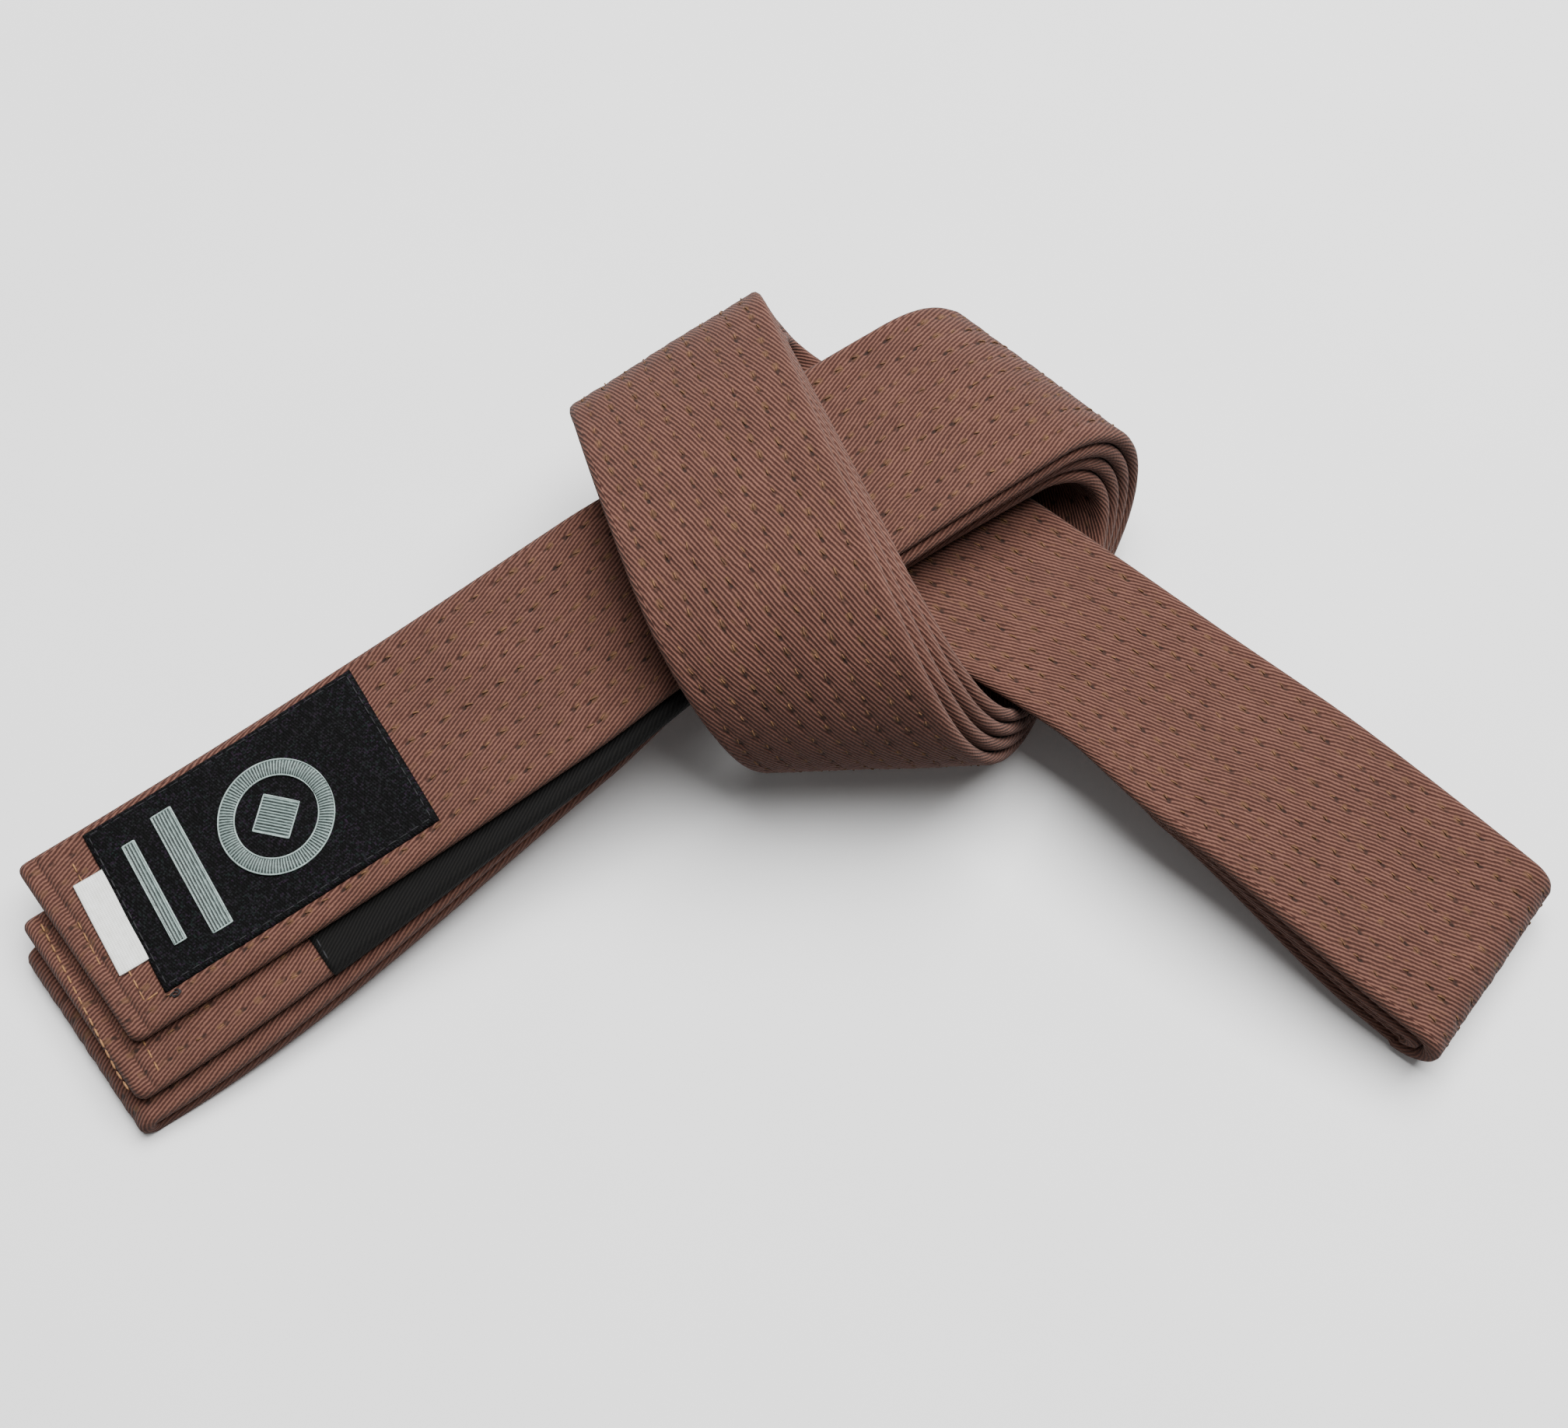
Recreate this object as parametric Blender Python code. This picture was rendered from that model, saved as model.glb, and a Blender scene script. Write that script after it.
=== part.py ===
"""Martial arts belt, folded in four and tied in one overhand knot, lying flat.

One quilted strap is folded into a bundle of four plies.  The bundle is a flat ribbon that only
bends about straight lines across it, so it is laid out as a row of sections.  Each section has a
length, a bend and the slant of its bend lines.  The row is placed by the one flat panel, under the
knot, that lies on the floor.  Frame: +Z up, origin on the floor under the middle of that panel.
Lengths are in millimetres until the points are made.
"""

import math
from collections import namedtuple

import bmesh
import bpy
from mathutils import Matrix, Vector

MM = 0.001

# Strap
WIDTH = 42.0            # finished belt width
PLY = 2.9               # thickness of one quilted ply where nothing presses it
WALL = 0.6              # cover cloth, two layers pressed together
GAP = 0.3               # clearance between pieces that touch
CORNER = 0.9            # bevel along the belt's folded edges

# Sections of the bundle: name, length, bend in degrees, slant of the bend line at its end, stations
SECTIONS = (
    ("arm_a", 107.0, -7.0, 90.0, 6),
    ("rise", 55.0, 4.0, 90.0, 4),
    ("crest", 33.0, 7.0, 106.0, 3),
    ("fold_far", 52.5, 182.0, 106.0, 11),
    ("under", 34.0, 0.0, 58.0, 2),
    ("fold_near", 74.0, 166.0, 75.0, 12),
    ("over", 50.0, 34.0, 102.0, 4),
    ("fold_top", 25.5, 122.0, 110.0, 8),
    ("return", 35.0, 42.0, 118.0, 4),
    ("exit", 40.0, -12.0, 95.0, 3),
    ("arm_b", 100.0, -10.0, 90.0, 6),
)
START_SLANT = 96.0      # slant of the first end
UNDER_HEADING = 244.0   # compass direction of the strap along the panel under the knot
SUBSTEPS = 6            # small bends from one station to the next

# How far each ply has slid sideways, at places along the bundle: arc length, plies 1 to 4
SLIDES = (
    (0.0, 0.0, -8.5, -12.0, -12.0),
    (135.0, 0.0, -1.8, 0.5, 0.5),
    (230.0, 0.0, 0.0, 0.0, 0.0),
    (340.0, 0.0, -1.5, -3.0, -4.0),
    (430.0, 0.0, 0.0, 0.0, 0.0),
)
# Where the knot crowds the bundle, each ply gathers at its left edge: arc length, plies 1 to 4
LEFT_TRIMS = (
    (0.0, 0.0, 0.0, 0.0, 0.0),
    (285.0, 0.0, 0.0, 0.0, 0.0),
    (322.0, 2.5, 2.5, 2.5, 2.5),
    (360.0, 0.0, 0.0, 0.0, 0.0),
    (470.0, 0.0, 0.0, 0.0, 0.0),
    (495.0, 13.0, 9.0, 5.0, 3.0),
    (525.0, 15.0, 12.0, 8.0, 5.0),
    (550.0, 6.0, 5.0, 3.5, 2.5),
    (600.0, 1.0, 1.0, 0.0, 0.0),
)
RIGHT_TRIMS = (
    (100.0, 0.0, 0.0, 0.0, 0.0),
    (134.0, 1.5, 1.5, 2.0, 3.0),
    (160.0, 0.0, 0.0, 0.0, 0.0),
)
# Ply to ply spacing: loose in both arms, tight in the knot, tightest where two bundles cross
PITCHES = (
    (0.0, 3.8),
    (120.0, 3.8),
    (138.0, 3.0),
    (170.0, 3.0),
    (200.0, 3.2),
    (285.0, 3.1),
    (305.0, 2.6),
    (335.0, 3.1),
    (445.0, 3.0),
    (480.0, 3.0),
    (505.0, 2.6),
    (530.0, 2.6),
    (570.0, 3.8),
    (640.0, 3.8),
)
PANEL_PITCH = 3.2       # at the panel under the knot
TAIL = 3.5              # how far plies 2 to 4 run on past the bundle's start
HEM_BACK = 2.0          # ply 1 starts this far behind it
LOOP_STATIONS = 6
CORE_STOP = 3.0         # the core stops short of the hems

# Label, tag, bar and thread, all on the first arm
PATCH_LENGTH, PATCH_WIDTH, PATCH_THICK = 57.5, 35.3, 0.8
PATCH_START, PATCH_SHIFT = 13.5, 1.35
TAG_LENGTH, TAG_WIDTH, TAG_THICK, TAG_SHIFT = 5.2, 20.0, 0.5, 1.0
BORDER_INSET = 1.2
THREAD = 0.6
BAR_START, BAR_END, BAR_WALL = 38.5, 128.0, 0.3
BAR_SEAM, BAR_SEAM_LENGTH = 6.0, 2.4            # seam across the bar's bare edge
HEM_SEAM, HEM_BOX, HEM_SIDE = 4.0, 7.5, 18.0
HEM_BARE = 5.0                                  # length of the second hem's seam that shows
EDGE_INSET = 1.0                                # seams keep this far from the belt's edges
ROW_COUNT, ROW_PITCH, ROW_END = 9, 4.3, 128.0
ROWS_GAP = 3.0                                  # from the label to the first quilting thread
RING_RADIUS, RING_BAND, RING_SIDES = 11.0, 3.0, 32
RING_AHEAD = 32.5                               # ring's middle, from the label's near end
MARK_HEIGHT = 0.5
LABEL_BARS = (                                  # name, start from the near end, width, length
    ("label_bar_long", 12.5, 4.0, 26.0),
    ("label_bar_short", 5.5, 2.4, 22.0),
)

COLOURS = {
    "cloth_brown": ((0.205, 0.095, 0.068), 0.9),
    "core_cotton": ((0.30, 0.24, 0.18), 0.95),
    "thread_brown": ((0.16, 0.075, 0.05), 0.8),
    "cloth_black": ((0.012, 0.012, 0.012), 0.9),
    "label_black": ((0.008, 0.008, 0.009), 0.75),
    "thread_silver": ((0.42, 0.50, 0.49), 0.5),
    "tag_white": ((0.82, 0.83, 0.81), 0.7),
}

# A station is one straight line across the bundle.  "across" grows by 1 mm of width per unit and
# "run" is how far the line runs ahead along the strap over that same millimetre.
Station = namedtuple("Station", "s centre across normal run")


def clear_scene():
    for obj in list(bpy.data.objects):
        bpy.data.objects.remove(obj, do_unlink=True)


def bend_about(point, direction, angle):
    """Turn by an angle about the line through a point."""
    turn = Matrix.Rotation(angle, 4, direction)
    return Matrix.Translation(point) @ turn @ Matrix.Translation(-point)


def slant_run(degrees):
    return 1.0 / math.tan(math.radians(degrees))


def frame_matrix(x, y, z, origin):
    frame = Matrix.Identity(4)
    frame.col[0][:3] = x
    frame.col[1][:3] = y
    frame.col[2][:3] = z
    frame.col[3][:3] = origin
    return frame


def panel_pose():
    """The panel under the knot lies face down, half a bundle above the floor."""
    heading = math.radians(UNDER_HEADING)
    x = Vector((math.cos(heading), math.sin(heading), 0))
    z = Vector((0, 0, -1))
    height = 1.5 * PANEL_PITCH + PLY / 2
    return frame_matrix(x, z.cross(x), z, (0, 0, height))


def bend_row():
    """The flat row bent section by section: raw stations, and the pose of the resting panel."""
    pose = Matrix.Identity(4)
    s, slant = 0.0, START_SLANT
    raw = [(s, slant, pose, pose)]
    for name, length, bend, end_slant, count in SECTIONS:
        steps = count * SUBSTEPS
        for k in range(steps):
            f = (k + 0.5) / steps
            here = s + length * f
            leaning = slant + (end_slant - slant) * f
            line = Vector((slant_run(leaning), 1, 0))
            after = pose @ bend_about(Vector((here, 0, 0)), line, math.radians(bend / steps))
            if k % SUBSTEPS == SUBSTEPS // 2:
                raw.append((here, leaning, pose, after))
            if name == "under" and k == steps // 2:
                rest = after @ Matrix.Translation((here, 0, 0))
            pose = after
        s += length
        slant = end_slant
    raw.append((s, slant, pose, pose))
    return raw, rest


def lay_bundle():
    """Stations along the bundle's middle surface, in place on the floor."""
    raw, rest = bend_row()
    place = panel_pose() @ rest.inverted()
    stations = []
    for s, slant, before, after in raw:
        run = slant_run(slant)
        pose = place @ before
        normal = pose.col[2].to_3d() + (place @ after).col[2].to_3d()
        across = pose.to_3x3() @ Vector((run, 1, 0))
        stations.append(Station(s, pose @ Vector((s, 0, 0)), across, normal.normalized(), run))
    return stations


def eased(table, s, column):
    """A column of a table by arc length, eased from row to row."""
    s = min(max(s, table[0][0]), table[-1][0])
    for low, high in zip(table, table[1:]):
        if s <= high[0]:
            break
    f = (s - low[0]) / (high[0] - low[0])
    return low[column] + (high[column] - low[column]) * f * f * (3 - 2 * f)


def spread_at(s, ply):
    """Sideways shift of a ply's middle, and the share of its width that it keeps."""
    left, right = eased(LEFT_TRIMS, s, ply), eased(RIGHT_TRIMS, s, ply)
    return eased(SLIDES, s, ply) + (right - left) / 2, 1 - (left + right) / WIDTH


def pitch_at(s):
    return eased(PITCHES, s, 1)


def thickness_at(s):
    return min(PLY, pitch_at(s) - GAP)


def ply_offset(ply, s):
    return (2.5 - ply) * pitch_at(s)


def ply_run(stations, ply, low=-math.inf, high=math.inf):
    """Cross lines (centre, across, side normal, thickness) of one ply, in the strap's direction."""
    facing = 1 if ply in (1, 3) else -1
    run = []
    for line in stations:
        if low <= line.s <= high:
            shift, keep = spread_at(line.s, ply)
            middle = line.centre + line.across * shift + line.normal * ply_offset(ply, line.s)
            run.append((middle, line.across * keep, line.normal * facing, thickness_at(line.s)))
    return run if facing > 0 else run[::-1]


def turn_loop(end, away, plies, folded_in=False):
    """Half turn from one ply to another at an end of the bundle."""
    first, second = plies
    pitch = pitch_at(end.s)
    radius = abs(second - first) * pitch / 2
    hub = end.centre + end.normal * ((2.5 - (first + second) / 2) * pitch)
    sign = 1 if first < second else -1
    loop = []
    for k in range(1, LOOP_STATIONS):
        f = k / LOOP_STATIONS
        spoke = end.normal * (sign * math.cos(math.pi * f)) + away * math.sin(math.pi * f)
        shift = spread_at(end.s, first)[0] * (1 - f) + spread_at(end.s, second)[0] * f
        face = -spoke if folded_in else spoke
        middle = hub + end.across * shift + spoke * radius
        loop.append((middle, end.across, face, thickness_at(end.s)))
    return loop


def strap_path(stations):
    """The whole strap: ply 1, right loop, ply 4, left fold, ply 3, right loop, ply 2."""
    first, last = stations[0], stations[-1]
    back = -first.across.cross(first.normal).normalized()
    away = last.across.cross(last.normal).normalized()
    tail = first._replace(s=-TAIL, centre=first.centre + back * TAIL)
    longer = [tail] + stations
    path = ply_run([between(stations, HEM_BACK)] + stations[1:], 1)
    path += turn_loop(last, away, (1, 4))
    path += ply_run(longer, 4)
    path += turn_loop(tail, back, (4, 3))
    path += ply_run(longer, 3)
    path += turn_loop(last, away, (3, 2), folded_in=True)
    path += ply_run(longer, 2)
    return path


def ring_points(cross_line, outline, inset=0.0):
    """An outline's points on a cross line; whatever rests on the floor is flattened by it."""
    centre, across, normal, thickness = cross_line
    points = [centre + across * t + normal * z for t, z in outline(thickness, inset)]
    for point in points:
        point.z = max(point.z, inset)
    return [point * MM for point in points]


def beveled_outline(thickness, inset):
    """Eight points, clockwise, of the strap's section with beveled corners; inset moves them in."""
    w, h, c = WIDTH / 2 - inset, thickness / 2 - inset, CORNER
    upper = [(w, h - c), (w, c - h), (w - c, -h), (c - w, -h)]
    return upper + [(-t, -z) for t, z in upper]


def flat_outline(thickness, inset):
    w, h = WIDTH / 2 - inset, thickness / 2 - inset
    return [(w, -h), (-w, -h), (-w, h), (w, h)]


def material(slot):
    made = bpy.data.materials.get(slot)
    if made is None:
        colour, roughness = COLOURS[slot]
        made = bpy.data.materials.new(slot)
        made.use_nodes = True
        shader = made.node_tree.nodes["Principled BSDF"]
        shader.inputs["Base Color"].default_value = (*colour, 1.0)
        shader.inputs["Roughness"].default_value = roughness
        shader.inputs["Metallic"].default_value = 0.0
    return made


def finish_object(name, shape, slot):
    """Faces out, smooth over soft bends, one material, linked to the scene."""
    bmesh.ops.recalc_face_normals(shape, faces=shape.faces)
    if shape.calc_volume(signed=True) < 0:
        bmesh.ops.reverse_faces(shape, faces=shape.faces)
    mesh = bpy.data.meshes.new(name)
    shape.to_mesh(mesh)
    shape.free()
    mesh.shade_smooth()
    mesh.set_sharp_from_angle(angle=math.radians(40))
    mesh.materials.append(material(slot))
    obj = bpy.data.objects.new(name, mesh)
    bpy.context.scene.collection.objects.link(obj)


def add_tube(shape, rings, closed=False):
    """Quads between neighbouring rings; returns the rings as vertices."""
    made = [[shape.verts.new(point) for point in ring] for ring in rings]
    following = made[1:] + made[:1] if closed else made[1:]
    for low, high in zip(made, following):
        for i in range(len(low)):
            j = (i + 1) % len(low)
            shape.faces.new((low[i], low[j], high[j], high[i]))
    return made


def join_mouth(shape, outer, inner):
    """Annular end of the sleeve: eight outer points round four inner ones."""
    for i in range(4):
        near, far = outer[2 * i + 1], outer[(2 * i + 2) % 8]
        shape.faces.new((outer[2 * i], near, inner[i], inner[i - 1]))
        shape.faces.new((near, far, inner[i]))


def make_cover(path):
    """The strap's cloth: a sleeve, open at both cut ends."""
    shape = bmesh.new()
    outer = add_tube(shape, [ring_points(line, beveled_outline) for line in path])
    inner = add_tube(shape, [ring_points(line, flat_outline, WALL) for line in path])
    join_mouth(shape, outer[0], inner[0])
    join_mouth(shape, outer[-1], inner[-1])
    finish_object("outer_cover", shape, "cloth_brown")


def make_core(path):
    """Padding strip that runs inside the cover and stops short of both hems."""
    start, end = path[0], path[-1]
    ahead = (path[1][0] - start[0]).normalized() * CORE_STOP
    behind = (path[-2][0] - end[0]).normalized() * CORE_STOP
    inside = [(start[0] + ahead, *start[1:])] + path[1:-1]
    inside.append((end[0] + behind, *end[1:]))
    shape = bmesh.new()
    rings = add_tube(shape, [ring_points(line, flat_outline, WALL + GAP) for line in inside])
    shape.faces.new(rings[0])
    shape.faces.new(rings[-1])
    finish_object("inner_core", shape, "core_cotton")


def make_bar(stations):
    """Black sleeve round ply 2, open at both ends."""
    path = ply_run(stations, 2, BAR_START, BAR_END)
    shape = bmesh.new()
    skins = []
    for inset in (-GAP - BAR_WALL, -GAP):
        skins.append(add_tube(shape, [ring_points(line, beveled_outline, inset) for line in path]))
    for end in (0, -1):
        for i in range(8):
            j = (i + 1) % 8
            shape.faces.new((skins[0][end][i], skins[0][end][j], skins[1][end][j], skins[1][end][i]))
    finish_object("rank_bar", shape, "cloth_black")


def strap_point(stations, ply, s, t, height):
    """A point on a ply by arc length, distance from its centre line and height above it."""
    foot = s
    for _ in range(4):
        line = between(stations, foot)
        foot = s - t * line.run
    lift = ply_offset(ply, foot) + height
    return (line.centre + line.across * (t + spread_at(foot, ply)[0]) + line.normal * lift) * MM


def between(stations, s):
    """The cross line at any arc length."""
    for low, high in zip(stations, stations[1:]):
        if s <= high.s:
            break
    f = (s - low.s) / (high.s - low.s)
    mixed = [a + (b - a) * f for a, b in zip(low, high)]
    return Station(*mixed)


def split_span(low, high, step=8.0):
    """A span cut into equal pieces, so that flat trim follows the arm's curve."""
    count = max(1, round((high - low) / step))
    return [low + (high - low) * k / count for k in range(count)]


def cell_slab(name, slot, lines, filled, point, levels):
    """A slab made of the filled cells of a grid of lines along and across the strap."""
    along, across = lines
    shape = bmesh.new()
    made = {}

    def vert(i, j, level):
        key = (i, j, level)
        if key not in made:
            made[key] = shape.verts.new(point(along[i], across[j], levels[level]))
        return made[key]

    cells = {(i, j) for i in range(len(along) - 1) for j in range(len(across) - 1) if filled(i, j)}
    for i, j in sorted(cells):
        ring = ((i, j), (i + 1, j), (i + 1, j + 1), (i, j + 1))
        shape.faces.new([vert(a, b, 1) for a, b in ring])
        shape.faces.new([vert(a, b, 0) for a, b in reversed(ring)])
        beyond = ((i, j - 1), (i + 1, j), (i, j + 1), (i - 1, j))
        for k, cell in enumerate(beyond):
            if cell not in cells:
                a, b = ring[k], ring[(k + 1) % 4]
                shape.faces.new((vert(*a, 0), vert(*b, 0), vert(*b, 1), vert(*a, 1)))
    finish_object(name, shape, slot)


def ply_face(stations, ply):
    """Point function for trim that lies on a ply's upper face."""
    return lambda s, t, z: strap_point(stations, ply, s, t, PLY / 2 + GAP + z)


def frame_lines(low, high, band):
    """Grid lines of a rectangular frame: both borders and the curve's steps between them."""
    return [low] + split_span(low + band, high - band) + [high - band, high]


def make_frame(name, slot, point, box, band, levels):
    """A rectangular frame of stitching."""
    low_s, high_s, low_t, high_t = box
    along = frame_lines(low_s, high_s, band)
    across = [low_t, low_t + band, high_t - band, high_t]
    last = len(along) - 2
    cell_slab(name, slot, (along, across), lambda i, j: i in (0, last) or j != 1, point, levels)


def make_patch(face):
    ends = (PATCH_START, PATCH_START + PATCH_LENGTH)
    sides = (PATCH_SHIFT - PATCH_WIDTH / 2, PATCH_SHIFT + PATCH_WIDTH / 2)
    along = split_span(*ends) + [ends[1]]
    cell_slab("label_patch", "label_black", (along, sides), lambda i, j: True, face, (0, PATCH_THICK))
    border = (
        ends[0] + BORDER_INSET,
        ends[1] - BORDER_INSET,
        sides[0] + BORDER_INSET,
        sides[1] - BORDER_INSET,
    )
    low = PATCH_THICK + GAP
    levels = (low, low + MARK_HEIGHT)
    make_frame("label_border_stitching", "label_black", face, border, THREAD, levels)


def make_emblem(face):
    """A raised ring and two plain bars of satin stitch."""
    low = PATCH_THICK + GAP
    levels = (low, low + MARK_HEIGHT)
    hub = (PATCH_START + RING_AHEAD, PATCH_SHIFT)
    shape = bmesh.new()
    rings = []
    for k in range(RING_SIDES):
        angle = 2 * math.pi * k / RING_SIDES
        ring = []
        for radius, z in ((0, 0), (0, 1), (1, 1), (1, 0)):
            reach = RING_RADIUS - RING_BAND * radius
            s = hub[0] + reach * math.cos(angle)
            t = hub[1] + reach * math.sin(angle)
            ring.append(face(s, t, levels[z]))
        rings.append(ring)
    add_tube(shape, rings, closed=True)
    finish_object("label_emblem", shape, "thread_silver")
    for name, start, wide, long in LABEL_BARS:
        low_s = PATCH_START + start
        across = (PATCH_SHIFT - long / 2, PATCH_SHIFT + long / 2)
        lines = ((low_s, low_s + wide), across)
        cell_slab(name, "thread_silver", lines, lambda i, j: True, face, levels)


def make_tag(face):
    end = PATCH_START - GAP
    sides = (TAG_SHIFT - TAG_WIDTH / 2, TAG_SHIFT + TAG_WIDTH / 2)
    lines = ((end - TAG_LENGTH, end), sides)
    cell_slab("size_tag", "tag_white", lines, lambda i, j: True, face, (0, TAG_THICK))


def make_rows(face):
    """Rows of quilting thread, joined by the seam that crosses them beside the label."""
    start = PATCH_START + PATCH_LENGTH + ROWS_GAP
    along = [start, start + THREAD] + split_span(start + THREAD, ROW_END)[1:] + [ROW_END]
    across = []
    for k in range(ROW_COUNT):
        middle = (k - (ROW_COUNT - 1) / 2) * ROW_PITCH
        across += [middle - THREAD / 2, middle + THREAD / 2]
    cell_slab(
        "quilting_rows",
        "thread_brown",
        (along, across),
        lambda i, j: i == 0 or j % 2 == 0,
        face,
        (0, THREAD / 2),
    )


def make_end_stitching(stations):
    """Thread at both hems and at the start of the rank bar."""
    levels = (0, THREAD / 2)
    top = ply_face(stations, 1)
    box = (HEM_SEAM, HEM_BOX, -HEM_SIDE, HEM_SIDE)
    make_frame("hem_stitching_end_a", "thread_brown", top, box, THREAD, levels)
    edge = EDGE_INSET - WIDTH / 2
    second = ply_face(stations, 2)
    seam = ((HEM_SEAM, HEM_SEAM + THREAD), (edge, edge + HEM_BARE))
    cell_slab("hem_stitching_end_b", "thread_brown", seam, lambda i, j: True, second, levels)
    lift = GAP + BAR_WALL
    levels = (lift, lift + THREAD / 2)
    start = BAR_START + BAR_SEAM
    seam = ((start, start + THREAD), (edge, edge + BAR_SEAM_LENGTH))
    cell_slab("rank_bar_stitching", "thread_brown", seam, lambda i, j: True, second, levels)


def main():
    clear_scene()
    stations = lay_bundle()
    path = strap_path(stations)
    make_cover(path)
    make_core(path)
    make_bar(stations)
    face = ply_face(stations, 1)
    make_patch(face)
    make_emblem(face)
    make_tag(face)
    make_rows(face)
    make_end_stitching(stations)


main()
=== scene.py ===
"""Tied martial arts belt: fine cloth, thread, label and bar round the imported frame.

The strap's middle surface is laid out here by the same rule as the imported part: a flat row of
sections that bends only about straight lines across it.  Lengths are millimetres until a mesh
is made, and lights and the floor are in metres.
"""

import math
import random
from types import SimpleNamespace

import bpy
import numpy as np
from mathutils import Matrix, Vector


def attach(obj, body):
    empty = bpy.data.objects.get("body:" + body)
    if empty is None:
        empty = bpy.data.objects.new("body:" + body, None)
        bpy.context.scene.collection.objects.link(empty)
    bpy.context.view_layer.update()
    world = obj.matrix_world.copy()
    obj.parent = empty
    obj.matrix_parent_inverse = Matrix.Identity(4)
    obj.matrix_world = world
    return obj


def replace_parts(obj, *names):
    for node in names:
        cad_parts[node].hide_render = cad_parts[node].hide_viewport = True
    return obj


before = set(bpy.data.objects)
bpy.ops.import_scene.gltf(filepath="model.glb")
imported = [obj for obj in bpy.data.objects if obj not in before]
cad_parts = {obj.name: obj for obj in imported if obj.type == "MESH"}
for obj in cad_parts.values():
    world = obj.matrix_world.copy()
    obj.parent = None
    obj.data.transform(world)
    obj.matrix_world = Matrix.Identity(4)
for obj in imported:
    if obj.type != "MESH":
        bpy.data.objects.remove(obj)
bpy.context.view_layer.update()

MM = 0.001
WIDTH = 42.0

# The bundle's course: name, length, bend in degrees, slant of the bend line at its end, stations
SECTIONS = (
    ("arm_a", 107.0, -7.0, 90.0, 6),
    ("rise", 55.0, 4.0, 90.0, 4),
    ("crest", 33.0, 7.0, 106.0, 3),
    ("fold_far", 52.5, 182.0, 106.0, 11),
    ("under", 34.0, 0.0, 58.0, 2),
    ("fold_near", 74.0, 166.0, 75.0, 12),
    ("over", 50.0, 34.0, 102.0, 4),
    ("fold_top", 25.5, 122.0, 110.0, 8),
    ("return", 35.0, 42.0, 118.0, 4),
    ("exit", 40.0, -12.0, 95.0, 3),
    ("arm_b", 100.0, -10.0, 90.0, 6),
)
START_SLANT = 96.0
UNDER_HEADING = 244.0                   # plan direction of the flat panel under the knot
SUBSTEPS = 6                            # small bends to each station
PANEL_HEIGHT = 1.5 * 3.2 + 2.9 / 2      # of the bundle's middle over the floor, at that panel
LEAD = 12.0                             # straight cloth before arc length 0

# Sideways slide of each ply: arc length, plies 1 to 4
SLIDES = (
    (0.0, 0.0, -8.5, -12.0, -12.0),
    (135.0, 0.0, -1.8, 0.5, 0.5),
    (230.0, 0.0, 0.0, 0.0, 0.0),
    (340.0, 0.0, -1.5, -3.0, -4.0),
    (430.0, 0.0, 0.0, 0.0, 0.0),
)
# How far the plies gather in at their left edges, and at their right edges
LEFT_TRIMS = (
    (0.0, 0.0, 0.0, 0.0, 0.0),
    (285.0, 0.0, 0.0, 0.0, 0.0),
    (322.0, 2.5, 2.5, 2.5, 2.5),
    (360.0, 0.0, 0.0, 0.0, 0.0),
    (470.0, 0.0, 0.0, 0.0, 0.0),
    (495.0, 13.0, 9.0, 5.0, 3.0),
    (525.0, 15.0, 12.0, 8.0, 5.0),
    (550.0, 6.0, 5.0, 3.5, 2.5),
    (600.0, 1.0, 1.0, 0.0, 0.0),
)
RIGHT_TRIMS = (
    (100.0, 0.0, 0.0, 0.0, 0.0),
    (134.0, 1.5, 1.5, 2.0, 3.0),
    (160.0, 0.0, 0.0, 0.0, 0.0),
)
# Ply to ply spacing along the bundle
PITCHES = (
    (0.0, 3.8),
    (120.0, 3.8),
    (138.0, 3.0),
    (170.0, 3.0),
    (200.0, 3.2),
    (285.0, 3.1),
    (305.0, 2.6),
    (335.0, 3.1),
    (445.0, 3.0),
    (480.0, 3.0),
    (505.0, 2.6),
    (530.0, 2.6),
    (570.0, 3.8),
    (640.0, 3.8),
)
TAIL = 3.5              # the fold under the label lies this far before arc length 0
FULLEST = 3.35          # an unpressed ply
AIR = 0.22              # left between pressed plies
HEM_LENGTH = 8.0
HEM_ROUND = 2.2         # corners of a cut end
HEM_TRIM = 2.0          # the turned cloth draws the first end back
HIDDEN_LOW = 264.0      # arc lengths inside the knot where the strap's pieces meet end to end
HIDDEN_HIGH = 463.0
FLOOR_GAP = 0.12        # kept between the lowest cloth and the floor

# Cloth
ROWS = 9
ROW_PITCH = 4.3
STITCH = 4.0            # from hole to hole
HOLE_DRIFT, ROW_DRIFT = 1.3, 0.8   # how unevenly the needle went in
EDGE_RADIUS = 1.25      # of the strap's folded edges
RIB_PITCH = 0.74        # twill ribs, and their slant in degrees
RIB_ANGLE = 21.0
SATIN_PITCH = 0.62      # from thread to thread of the embroidery

# Sine hashes that scatter the needle's holes in the same way in meshes and materials
HASH_SCALE = 43.7585
ROW_HASH, ROW_HASH_START = 12.9898, 4.1
HOLE_HASH, HOLE_HASH_ROW = 7.13, 3.71
SEED_ALONG, SEED_ASIDE, SEED_DEPTH, SEED_RUBBED = 0.4, 2.9, 1.7, 5.2

# Thread
QUILT_THREAD, HEM_THREAD, BORDER_THREAD = 0.16, 0.17, 0.13   # radii
SEAM_SAG = 0.12         # how far a stitch's ends sink
CORD_LIFT = 1.0         # height of the emblem's outline thread over the strap
SATIN_FOOT = 0.55       # and of the underside of the satin stitch

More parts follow.
